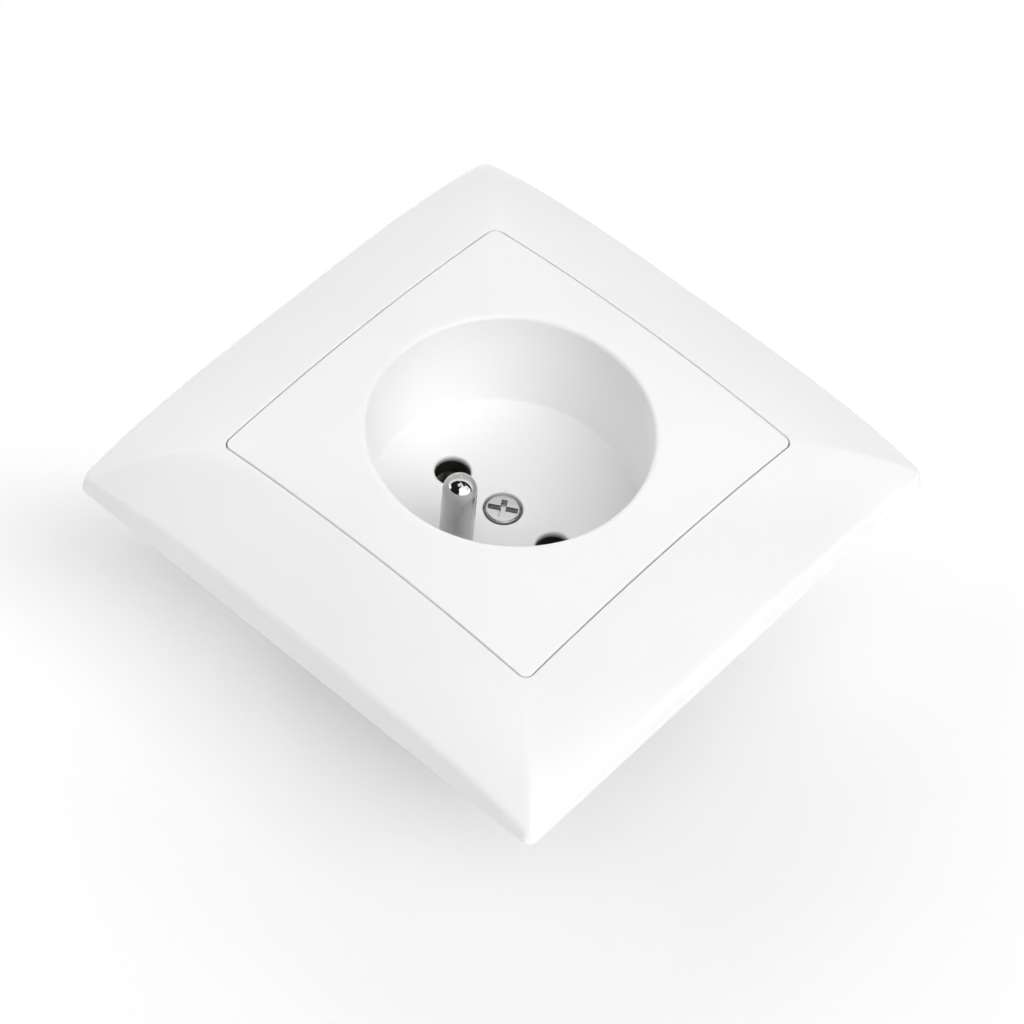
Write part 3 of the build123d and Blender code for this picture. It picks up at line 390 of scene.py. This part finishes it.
def plate_with_painted_hole_shade():
    """The plate's plastic, with painted shade that turns it black with depth down its contact holes."""
    made = moulded("plate_white", (0.93, 0.93, 0.93), 0.3, 900, 0.002)
    nodes, links = made.node_tree.nodes, made.node_tree.links
    shader = nodes["Principled BSDF"]
    place = nodes.new("ShaderNodeTexCoord").outputs["Object"]
    parts = nodes.new("ShaderNodeSeparateXYZ")
    links.new(place, parts.inputs["Vector"])
    # painted shade: from the lip's foot down, the collar's wall is painted ever darker until it is black
    lip_foot = (WELL_FLOOR_Z - CONTACT_LIP) * MM
    depth = nodes.new("ShaderNodeMapRange")
    depth.inputs["From Min"].default_value = lip_foot
    depth.inputs["From Max"].default_value = lip_foot - HOLE_SHADE_DEPTH * MM
    links.new(parts.outputs["Z"], depth.inputs["Value"])
    # the distance from the nearer contact hole's axis
    folded = nodes.new("ShaderNodeVectorMath")
    folded.operation = "ABSOLUTE"
    links.new(place, folded.inputs[0])
    from_axis = nodes.new("ShaderNodeVectorMath")
    from_axis.operation = "MULTIPLY_ADD"
    from_axis.inputs[1].default_value = (1, 1, 0)
    from_axis.inputs[2].default_value = (-CONTACT_X * MM, 0, 0)
    links.new(folded.outputs["Vector"], from_axis.inputs[0])
    away = nodes.new("ShaderNodeVectorMath")
    away.operation = "LENGTH"
    links.new(from_axis.outputs["Vector"], away.inputs[0])
    near = nodes.new("ShaderNodeMath")
    near.operation = "LESS_THAN"
    near.inputs[1].default_value = (COLLAR_R + 0.1) * MM
    links.new(away.outputs["Value"], near.inputs[0])
    share = product(nodes, links, near.outputs["Value"], depth.outputs["Result"])
    paint = nodes.new("ShaderNodeMix")
    paint.data_type = "RGBA"
    white = shader.inputs["Base Color"].links[0].from_socket
    links.new(share, paint.inputs["Factor"])
    links.new(white, paint.inputs["A"])
    paint.inputs["B"].default_value = HOLE_SHADE_BLACK
    links.new(paint.outputs["Result"], shader.inputs["Base Color"])
    return made


def pin_nickel(shoulder):
    """The earth pin's plating: a drawn barrel and a polished nose above the shoulder's height."""
    made = plated("pin_nickel", (0.58, 0.58, 0.58), (0.52, 0.52, 0.52), 0.2, (1, 1, 0.06), 0.0006)
    nodes, links = made.node_tree.nodes, made.node_tree.links
    shader = nodes["Principled BSDF"]
    place = nodes.new("ShaderNodeTexCoord")
    parts = nodes.new("ShaderNodeSeparateXYZ")
    polish = nodes.new("ShaderNodeMapRange")
    polish.inputs["From Min"].default_value = (shoulder - 0.2) * MM
    polish.inputs["From Max"].default_value = (shoulder + 0.6) * MM
    polish.inputs["To Min"].default_value = 1.0
    polish.inputs["To Max"].default_value = 0.15
    grain = shader.inputs["Roughness"].links[0].from_socket
    links.new(place.outputs["Object"], parts.inputs["Vector"])
    links.new(parts.outputs["Z"], polish.inputs["Value"])
    links.new(product(nodes, links, grain, polish.outputs["Result"]), shader.inputs["Roughness"])
    return made


MATERIALS = {
    "frame_white": moulded("frame_white", (0.92, 0.92, 0.92), 0.17, 500, 0.0012),
    "plate_white": plate_with_painted_hole_shade(),
    "base_white": moulded("base_white", (0.72, 0.71, 0.68), 0.45, 1500, 0.006, 0.95),
    "cover_grey": moulded("cover_grey", (0.05, 0.05, 0.052), 0.45, 1500, 0.006, 0.9),
    "zinc_steel": plated("zinc_steel", (0.62, 0.63, 0.65), (0.5, 0.52, 0.55), 0.34, (1, 1, 0.15), 0.002),
    "nickel": plated("nickel", (0.5, 0.5, 0.5), (0.4, 0.4, 0.4), 0.12, (1, 1, 0.3), 0.0008),
    "brass": plated("brass", (0.72, 0.53, 0.27), (0.6, 0.42, 0.2), 0.3, (1, 0.15, 1), 0.002),
}


def cover_frame():
    """The pillow-shaped frame: one closed profile carried round the square."""
    shell = Surface()
    inner_wall = HALF_FRAME - FRAME_WALL
    shoulder = CREASE_HALF - CREASE_ROUND
    sharp = 0.5

    def lowered(drop):
        return lambda x, y, share: frame_height(x, y) - drop

    def leg_foot(x, y, share):
        return LEG_FOOT_Z if abs(share) > LEG_START else LEDGE_Z - LEDGE_WALL - 0.05

    def leg_foot_up(x, y, share):
        return leg_foot(x, y, share) + 0.04

    rings = [
        square(HALF_LEDGE, 2, LEDGE_Z - LEDGE_WALL),
        square(HALF_LEDGE, 2, LEDGE_Z),
        square(HALF_WINDOW, FRAME_CORNER, LEDGE_Z),
        square(HALF_WINDOW, FRAME_CORNER, 8.5),
        square(HALF_WINDOW, FRAME_CORNER, lowered(EDGE_ROUND)),
    ]
    seam_low = rings[-1]
    seam_corner = square(HALF_WINDOW, FRAME_CORNER, lowered(0))
    seam_high = square(HALF_WINDOW + EDGE_ROUND, FRAME_CORNER, lowered(0))
    for share in (0.25, 0.5, 0.75, 1):
        rings.append([arc(a, b, c, share) for a, b, c in zip(seam_low, seam_corner, seam_high)])
    face_steps = 26
    for i in range(1, face_steps + 1):
        half = HALF_WINDOW + EDGE_ROUND + (shoulder - HALF_WINDOW - EDGE_ROUND) * i / face_steps
        rings.append(square(half, FRAME_CORNER, lowered(0)))
    crease_in = rings[-1]
    crease = square(CREASE_HALF, FRAME_CORNER, lowered(0))
    crease_low = square(CREASE_HALF, FRAME_CORNER, lowered(CREASE_ROUND))
    for i in range(1, 11):
        rings.append([arc(a, b, c, i / 10) for a, b, c in zip(crease_in, crease, crease_low)])
    foot = square(HALF_FRAME, FRAME_CORNER, EDGE_ROUND)
    for share in (0.25, 0.5, 0.75, 1):
        ring = [tuple(p + (q - p) * share for p, q in zip(a, b)) for a, b in zip(crease_low, foot)]
        rings.append(ring)
    rings.append(square(HALF_FRAME - EDGE_ROUND, FRAME_CORNER, 0))
    rings.append(square(inner_wall, sharp, 0))
    rings.append(square(CREASE_HALF - FRAME_WALL, sharp, lowered(FRAME_WALL + 0.6)))
    under_steps = 8
    under_outer = CREASE_HALF - FRAME_WALL - 0.5
    for i in range(under_steps + 1):
        half = under_outer + (WINDOW_OUTER - under_outer) * i / under_steps
        rings.append(square(half, sharp, lowered(FRAME_WALL)))
    rings.append(square(WINDOW_OUTER, sharp, leg_foot))
    rings.append(square(LEG_INNER, sharp, leg_foot))
    rings.append(square(LEG_INNER, sharp, LEDGE_Z - LEDGE_WALL))
    first, last = shell.tube(rings)
    shell.bridge(last, first)
    shell.piece("frame_shell", "cover_frame", "frame_white")


def centre_plate():
    """The domed plate with its well, floor, holes and the ribs behind."""
    shell = Surface()

    def face(x, y, share=0):
        return plate_height(x, y)

    def under(x, y, share=0):
        return plate_height(x, y) - PLATE_WALL

    def face_low(x, y, share=0):
        return plate_height(x, y) - EDGE_ROUND

    def round_ring(template, radius, z):
        """A circle with one point on the line from the middle to each point of the template."""
        ring = []
        for x, y, _ in template:
            away = math.hypot(x, y)
            px, py = x * radius / away, y * radius / away
            ring.append((px, py, z(px, py) if callable(z) else z))
        return ring

    def between(outer, inner, share, z):
        ring = []
        for a, b in zip(outer, inner):
            x, y = a[0] + (b[0] - a[0]) * share, a[1] + (b[1] - a[1]) * share
            ring.append((x, y, z(x, y)))
        return ring

    rim_low = square(HALF_PLATE, PLATE_CORNER, LEDGE_Z)
    side_high = square(HALF_PLATE, PLATE_CORNER, face_low)
    corner = square(HALF_PLATE, PLATE_CORNER, face)
    edge_in = square(HALF_PLATE - EDGE_ROUND, PLATE_CORNER, face)
    mouth_outer = round_ring(edge_in, WELL_R + MOUTH_ROUND, face)
    mouth_corner = round_ring(edge_in, WELL_R, face)
    mouth_low = [(x, y, z - MOUTH_ROUND) for x, y, z in mouth_corner]
    outside = [rim_low, side_high]
    for share in (0.25, 0.5, 0.75, 1):
        outside.append([arc(a, b, c, share) for a, b, c in zip(side_high, corner, edge_in)])
    for i in range(1, 17):
        outside.append(between(edge_in, mouth_outer, i / 16, face))
    for i in range(1, 11):
        outside.append([arc(a, b, c, i / 10) for a, b, c in zip(mouth_outer, mouth_corner, mouth_low)])
    wall_foot = round_ring(edge_in, WELL_FLOOR_R, WELL_FLOOR_Z + FLOOR_ROUND)
    for share in (0.1, 0.4, 0.7, 1):
        outside.append([tuple(p + (q - p) * share for p, q in zip(a, b)) for a, b in zip(mouth_low, wall_foot)])
    floor_corner = round_ring(edge_in, WELL_FLOOR_R, WELL_FLOOR_Z)
    floor_in = round_ring(edge_in, WELL_FLOOR_R - FLOOR_ROUND, WELL_FLOOR_Z)
    for i in range(1, 7):
        outside.append([arc(a, b, c, i / 6) for a, b, c in zip(wall_foot, floor_corner, floor_in)])
    outside.append(round_ring(edge_in, WELL_FLOOR_R - FLOOR_ROUND - 0.1, WELL_FLOOR_Z))
    rim_outer, floor_edge = shell.tube(outside)

    tube_r = WELL_FLOOR_R + WELL_WALL
    shell_in = square(HALF_PLATE - RIM_WALL, PLATE_CORNER, under)
    tube_top = round_ring(shell_in, WELL_R + WELL_WALL, under)
    inside = [
        square(HALF_PLATE - RIM_WALL, PLATE_CORNER, LEDGE_Z),
        shell_in,
        between(shell_in, tube_top, 0.35, under),
        between(shell_in, tube_top, 0.7, under),
        tube_top,
        round_ring(shell_in, tube_r, FLOOR_BACK_Z),
    ]
    rim_inner, back_edge = shell.tube(inside)
    shell.bridge(rim_outer, rim_inner)

    floor_holes, back_holes = [], []
    for x in (CONTACT_X, -CONTACT_X):
        rings = []
        for i in range(7):
            angle = math.pi / 2 * i / 6
            radius = CONTACT_HOLE_R + CONTACT_LIP * (1 - math.sin(angle))
            rings.append(circle(radius, WELL_FLOOR_Z - CONTACT_LIP * (1 - math.cos(angle)), (x, 0)))
        rings.append(circle(CONTACT_HOLE_R, COLLAR_FOOT_Z, (x, 0)))
        rings.append(circle(COLLAR_R, COLLAR_FOOT_Z, (x, 0)))
        rings.append(circle(COLLAR_R, FLOOR_BACK_Z, (x, 0)))
        top, low = shell.tube(rings)
        floor_holes.append(top)
        back_holes.append(low)
    pin_hole = PIN_SEAT_R + 0.1
    top, low = shell.tube([circle(pin_hole, z, (0, PIN_Y)) for z in (WELL_FLOOR_Z, FLOOR_BACK_Z)])
    floor_holes.append(top)
    back_holes.append(low)
    rings = [
        circle(SINK_MOUTH_R, WELL_FLOOR_Z),
        circle(SINK_R, WELL_FLOOR_Z - SINK_CHAMFER),
        circle(SINK_R, WELL_FLOOR_Z - SINK_DEPTH),
        circle(SCREW_HOLE_R, WELL_FLOOR_Z - SINK_DEPTH),
        circle(SCREW_HOLE_R, BOSS_Z),
        circle(BOSS_R, BOSS_Z),
        circle(BOSS_R, FLOOR_BACK_Z),
    ]
    top, low = shell.tube(rings)
    floor_holes.append(top)
    back_holes.append(low)
    shell.fill(floor_edge, *floor_holes)
    shell.fill(back_edge, *back_holes)

    for across in (-1, 1):
        near, far = sorted(across * end for end in RIB_ENDS)
        for along in (-RIB_PLACE, RIB_PLACE):
            low, high = along - RIB_HALF, along + RIB_HALF
            shell.block((near, low, RIB_LOW_Z), (far, high, RIB_HIGH_Z))
            shell.block((low, near, RIB_LOW_Z), (high, far, RIB_HIGH_Z))
    shell.piece("plate_shell", "centre_plate", "plate_white")


def turned(profile, centre, count=72):
    """Rings of a turned part from its profile of radius and height."""
    return [circle(radius, z, centre, count) for radius, z in profile]


def earth_pin():
    """The pin: a rounded nose, a straight barrel, the collar and the riveted tail."""
    pin = Surface()
    shoulder = PIN_TIP_Z - PIN_R
    profile = [(1.7, -11.7), (2.3, -11.2), (2.4, -10.8), (1.5, -10.8), (1.5, -10), (3.2, -10), (3.2, -9)]
    profile += [(PIN_SEAT_R, -9), (PIN_SEAT_R, PIN_SEAT_Z - 0.1), (PIN_SEAT_R - 0.1, PIN_SEAT_Z), (PIN_R, PIN_SEAT_Z)]
    profile += [(PIN_R, -2), (PIN_R, 2), (PIN_R, 5), (PIN_R, shoulder)]
    for i in range(1, 24):
        angle = math.pi / 2 * i / 24
        profile.append((PIN_R * math.cos(angle), shoulder + PIN_R * math.sin(angle)))
    tail, nose = pin.tube(turned(profile, (0, PIN_Y)))
    pin.fill(tail)
    pin.fill(nose)
    made = pin.piece("pin_turned", "earth_pin", "nickel", sharp=35)
    made.material_slots[0].material = pin_nickel(shoulder)


def thread(surface, centre, top_z, tip_z, radius, pitch, depth):
    """A threaded shank: a cylinder whose radius follows a helical groove."""
    count, per_pitch = 32, 6
    rows = round((top_z - tip_z) / pitch * per_pitch)
    rings = []
    for row in range(rows + 1):
        z = top_z + (tip_z - top_z) * row / rows
        ends = min(1, (top_z - z) / pitch, (z - tip_z) / pitch)
        ring = []
        for i in range(count):
            angle = 2 * math.pi * i / count
            turn = ((top_z - z) / pitch + i / count) % 1
            groove = abs(2 * turn - 1)
            here = radius - depth * groove * max(ends, 0) - depth * (1 - max(ends, 0))
            ring.append((centre[0] + here * math.cos(angle), centre[1] + here * math.sin(angle), z))
        rings.append(ring)
    top, tip = surface.tube(rings)
    surface.fill(top)
    surface.fill(tip)


def screw(name, node, slot, centre, seat, head, shank, tip, recess, body=BODY, ball=False):
    """A screw: a rounded head with its recess, standing on seat, and a threaded shank down to tip.
    With a ball, the head's underside is a half ball whose centre is at seat."""
    surface = Surface()
    head_r, head_h, round_r = head
    top = seat + head_h
    neck = shank[0] - 0.02
    profile = []
    if ball:
        start = math.asin(neck / head_r)
        for i in range(12):
            angle = start + (math.pi / 2 - start) * i / 12
            profile.append((head_r * math.sin(angle), seat - head_r * math.cos(angle)))
        profile.append((head_r, seat))
    else:
        profile += [(neck, seat), (head_r - 0.1, seat), (head_r, seat + 0.1)]
    for i in range(9):
        angle = math.pi / 2 * i / 8
        profile.append((head_r - round_r * (1 - math.cos(angle)), top - round_r * (1 - math.sin(angle))))
    low, high = surface.tube(turned(profile, centre))
    surface.fill(low)
    upper = surface.ring([(centre[0] + x, centre[1] + y, top) for x, y in recess[0]])
    lower = surface.ring([(centre[0] + x, centre[1] + y, top - recess[2]) for x, y in recess[1]])
    surface.bridge(upper, lower)
    surface.fill(high, upper)
    surface.fill(lower)
    thread(surface, centre, profile[0][1] + 0.1, tip, *shank)
    return surface.piece(name, node, slot, body, sharp=32)


def cross(length, width, length2, width2, turn=0.0):
    """Outline of a recess made of two crossed bars."""
    a, b, c, d = length / 2, width / 2, length2 / 2, width2 / 2
    upper = [(a, b), (d, b), (d, c), (-d, c), (-d, b), (-a, b)]
    lower = [(-a, -b), (-d, -b), (-d, -c), (d, -c), (d, -b), (a, -b)]
    points = upper + lower
    co, si = math.cos(turn), math.sin(turn)
    return [(x * co - y * si, x * si + y * co) for x, y in points]


# Threaded shanks: radius, pitch and depth of the groove
M3_SHANK = (1.45, 0.5, 0.25)
SHEET_SHANK = (1.2, 0.8, 0.3)


def all_screws():
    """Every screw of the socket; a claw's screw hangs on a ball under its head.
    A head is its radius, height and rounding; a recess is its mouth, its floor and its depth."""
    turn = PLATE_SCREW_TURN
    recess = (cross(4.3, 0.85, 3.1, 0.85, turn), cross(4.1, 0.65, 2.6, 0.65, turn), 0.8)
    screw("plate_screw_turned", "plate_screw", "nickel", (0, 0), -7.0, (2.5, 1.6, 0.3), M3_SHANK, -15.0, recess)
    recess = (cross(4.6, 0.85, 3.4, 0.85), cross(4.4, 0.65, 2.8, 0.65), 0.85)
    for name, x, y in (("live", -14, -14), ("neutral", 14, -14), ("earth", 14, 14)):
        screw(f"{name}_terminal_turned", f"{name}_terminal_screw", "zinc_steel", (x, y),
              -10.9, (2.8, 1.7, 0.5), M3_SHANK, -20.4, recess)
    recess = (cross(3.4, 0.8, 3.4, 0.8, 0.5), cross(2.4, 0.5, 2.4, 0.5, 0.5), 0.7)
    for name, y in (("upper", 18.5), ("lower", -18.5)):
        screw(f"{name}_bracket_turned", f"{name}_bracket_screw", "zinc_steel", (0, y),
              -9.0, (2.5, 1.1, 0.35), SHEET_SHANK, -17.5, recess)
    recess = (cross(4.6, 0.85, 3.2, 0.85), cross(4.4, 0.65, 2.6, 0.65), 0.8)
    for name, x in (("left", -25), ("right", 25)):
        screw(f"claw_{name}_turned", f"claw_screw_{name}", "zinc_steel", (x, 0),
              3.1, (2.7, 0.5, 0.2), M3_SHANK, -24.5, recess, f"{name}_screw", True)


cover_frame()
centre_plate()
earth_pin()
all_screws()

for node in frame["nodes"].values():
    slot = next(p["material_slot"] for p in frame["record"]["subparts"] if p["node"] == node["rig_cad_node"])
    for place in node.material_slots:
        place.material = MATERIALS[slot]


def studio():
    """A plain white floor under the part and a white surround."""
    floor_data = bpy.data.meshes.new("floor")
    half = 3.0
    corners = [(-half, -half, 0), (half, -half, 0), (half, half, 0), (-half, half, 0)]
    floor_data.from_pydata(corners, [], [(0, 1, 2, 3)])
    floor = bpy.data.objects.new("floor", floor_data)
    floor.location.z = cad_low.z
    bpy.context.scene.collection.objects.link(floor)
    paint, nodes, links, shader = shader_tree("floor_white")
    shader.inputs["Base Color"].default_value = (1, 1, 1, 1)
    shader.inputs["Roughness"].default_value = 1.0
    shader.inputs["Specular IOR Level"].default_value = 0.0
    # painted light: for the camera the floor glows plain white beyond the part and outwards from the middle, over its
    # shadow there, and a little near the part too
    rays = nodes.new("ShaderNodeLightPath")
    place = nodes.new("ShaderNodeTexCoord")
    fade = facing(nodes, links, place.outputs["Object"], PHOTO_AWAY, FADE_START, FADE_END)
    reach = nodes.new("ShaderNodeVectorMath")
    reach.operation = "LENGTH"
    links.new(place.outputs["Object"], reach.inputs[0])
    outer = nodes.new("ShaderNodeMapRange")
    outer.interpolation_type = "SMOOTHSTEP"
    outer.inputs["From Min"].default_value = FADE_INNER
    outer.inputs["From Max"].default_value = FADE_OUTER
    links.new(reach.outputs["Value"], outer.inputs["Value"])
    fade = mixed(nodes, links, outer.outputs["Result"], mixed(nodes, links, fade, FLOOR_GLOW, 1.0), 1.0)
    white = nodes.new("ShaderNodeEmission")
    mix = nodes.new("ShaderNodeMixShader")
    links.new(product(nodes, links, fade, rays.outputs["Is Camera Ray"]), mix.inputs["Fac"])
    links.new(shader.outputs["BSDF"], mix.inputs[1])
    links.new(white.outputs["Emission"], mix.inputs[2])
    links.new(mix.outputs["Shader"], nodes["Material Output"].inputs["Surface"])
    floor_data.materials.append(paint)

    world = bpy.data.worlds.new("studio")
    bpy.context.scene.world = world
    world.use_nodes = True
    nodes, links = world.node_tree.nodes, world.node_tree.links
    background = nodes["Background"]
    # what shiny surfaces mirror: a white sweep, and a dim room with bright boxes on the camera's side
    place = nodes.new("ShaderNodeTexCoord").outputs["Generated"]
    ripple = nodes.new("ShaderNodeTexNoise")
    ripple.inputs["Scale"].default_value = ROOM_SCALE
    centred = nodes.new("ShaderNodeVectorMath")
    centred.operation = "SUBTRACT"
    centred.inputs[1].default_value = (0.5, 0.5, 0.5)
    uneven = nodes.new("ShaderNodeVectorMath")
    uneven.operation = "MULTIPLY_ADD"
    uneven.inputs[1].default_value = (ROOM_RIPPLE, ROOM_RIPPLE, ROOM_RIPPLE)
    links.new(place, ripple.inputs["Vector"])
    links.new(ripple.outputs["Color"], centred.inputs[0])
    links.new(centred.outputs["Vector"], uneven.inputs[0])
    links.new(place, uneven.inputs[2])
    toward = uneven.outputs["Vector"]
    inside = ROOM_DARK
    for direction, edge, core, level in ROOM_BOXES:
        inside = mixed(nodes, links, facing(nodes, links, toward, direction, edge, core), inside, level)
    edge = facing(nodes, links, place, ROOM_TOWARD, *SWEEP_EDGE)
    sweep = mixed(nodes, links, edge, SWEEP_LEVEL, SWEEP_EDGE_LEVEL)
    direction, start, end, level = SWEEP_SPOT
    sweep = mixed(nodes, links, facing(nodes, links, place, direction, start, end), sweep, level)
    room = facing(nodes, links, place, ROOM_TOWARD, *ROOM_EDGE)
    mirrored = mixed(nodes, links, room, sweep, inside)
    rays = nodes.new("ShaderNodeLightPath")
    seen = nodes.new("ShaderNodeMath")
    seen.operation = "MAXIMUM"
    links.new(rays.outputs["Is Camera Ray"], seen.inputs[0])
    links.new(rays.outputs["Is Transmission Ray"], seen.inputs[1])
    lit = mixed(nodes, links, rays.outputs["Is Glossy Ray"], WORLD_LEVEL, mirrored)
    links.new(mixed(nodes, links, seen.outputs[0], lit, 1.0), background.inputs["Strength"])
    background.inputs["Color"].default_value = (1, 1, 1, 1)


def softbox(azimuth, elevation, size, level):
    """An area lamp that points at the part. Azimuth 0 is the photo's right and 90 its far side.
    level is how bright the lamp alone would make a white wall that faces it."""
    turn, rise = math.radians(azimuth), math.radians(elevation)
    level_part = math.cos(turn) * PHOTO_RIGHT + math.sin(turn) * PHOTO_AWAY
    away = math.cos(rise) * level_part + math.sin(rise) * Vector((0, 0, 1))
    name = f"softbox_{azimuth}_{elevation}"
    data = bpy.data.lights.new(name, "AREA")
    data.shape = "SQUARE"
    data.size = size
    data.energy = level * (math.pi * LAMP_DISTANCE) ** 2
    lamp = bpy.data.objects.new(name, data)
    lamp.location = away * LAMP_DISTANCE
    lamp.visible_glossy = False
    lamp.rotation_mode = "QUATERNION"
    lamp.rotation_quaternion = away.to_track_quat("Z", "Y")
    bpy.context.scene.collection.objects.link(lamp)


def photo_camera():
    """The camera where the photograph was taken from, fitted to the part's edges."""
    elevation, roll = math.radians(52.96), math.radians(6.139)
    back = math.sin(elevation) * Vector((0, 0, 1)) - math.cos(elevation) * PHOTO_AWAY
    up = back.cross(PHOTO_RIGHT)
    rolled_right = math.cos(roll) * PHOTO_RIGHT + math.sin(roll) * up
    rolled_up = math.cos(roll) * up - math.sin(roll) * PHOTO_RIGHT
    target = Vector((0, 0, 11.04)) + 0.207 * rolled_right - 10.333 * rolled_up
    data = bpy.data.cameras.new("camera")
    data.sensor_width = 36.0
    data.lens = 127.16
    data.clip_start, data.clip_end = 0.01, 20
    camera = bpy.data.objects.new("camera", data)
    turn = Matrix((rolled_right, rolled_up, back)).transposed()
    camera.matrix_world = Matrix.Translation((target + 492.05 * back) * MM) @ turn.to_4x4()
    bpy.context.scene.collection.objects.link(camera)
    bpy.context.scene.camera = camera


LAMP_DISTANCE = 1.3
# Directions from the part towards the camera and up in the photo
PHOTO_BACK = 0.7982 * Vector((0, 0, 1)) - 0.6024 * PHOTO_AWAY
PHOTO_UP = 0.6024 * Vector((0, 0, 1)) + 0.7982 * PHOTO_AWAY
ROOM_TOWARD = 0.4695 * Vector((0, 0, 1)) - 0.8829 * PHOTO_AWAY
ROOM_EDGE = (-0.01, 0.04)   # how far towards ROOM_TOWARD the sweep gives way to the room
ROOM_SCALE = 3.0
ROOM_RIPPLE = 0.3
ROOM_DARK = 0.02
# Each box: its direction, the shares of it where it starts and is full, and its level
ROOM_BOXES = [
    (0.55 * PHOTO_RIGHT - 0.1 * PHOTO_UP + 0.83 * PHOTO_BACK, 0.77, 0.8, 1.8),
    (-0.9 * PHOTO_RIGHT + 0.26 * PHOTO_UP + 0.31 * PHOTO_BACK, 0.95, 0.97, 1.8),
    (0.62 * PHOTO_RIGHT - 0.12 * PHOTO_AWAY + 0.775 * Vector((0, 0, 1)), 0.962, 0.976, 1.0),
    (Vector((0, 0, 1)), 0.96, 0.985, 1.2),
]
SWEEP_LEVEL = 0.8
SWEEP_EDGE_LEVEL = 1.35
SWEEP_EDGE = (-0.45, -0.1)  # where the sweep brightens towards the room
SWEEP_SPOT = (0.9 * PHOTO_AWAY + 0.43 * Vector((0, 0, 1)), 0.995, 0.998, 2.6)
WORLD_LEVEL = 0.02
# Painted light: where and how much the floor glows white for the camera over its own shadow
# The floor's fade to white, in metres: beyond the part as the photo sees it, and outwards from the middle
FADE_START = -0.002
FADE_END = 0.022
FLOOR_GLOW = 0.1
FADE_INNER = 0.065
FADE_OUTER = 0.115
# Each lamp: azimuth, elevation, size in metres and level
LAMPS = [
    (315, 35, 0.9, 0.34),
    (315, 50, 0.9, 0.28),
    (135, 20, 0.7, 0.26),
    (270, 65, 0.9, 0.19),
    (180, 35, 0.9, 0.17),
    (90, 35, 0.9, 0.17),
    (90, 20, 0.7, 0.12),
    (315, 20, 0.7, 0.105),
    (225, 50, 0.9, 0.075),
    (45, 65, 0.9, 0.07),
    (270, 50, 0.9, 0.05),
    (0, 35, 0.9, 0.05),
]
studio()
for lamp in LAMPS:
    softbox(*lamp)
photo_camera()
bpy.context.scene.view_settings.view_transform = "Standard"
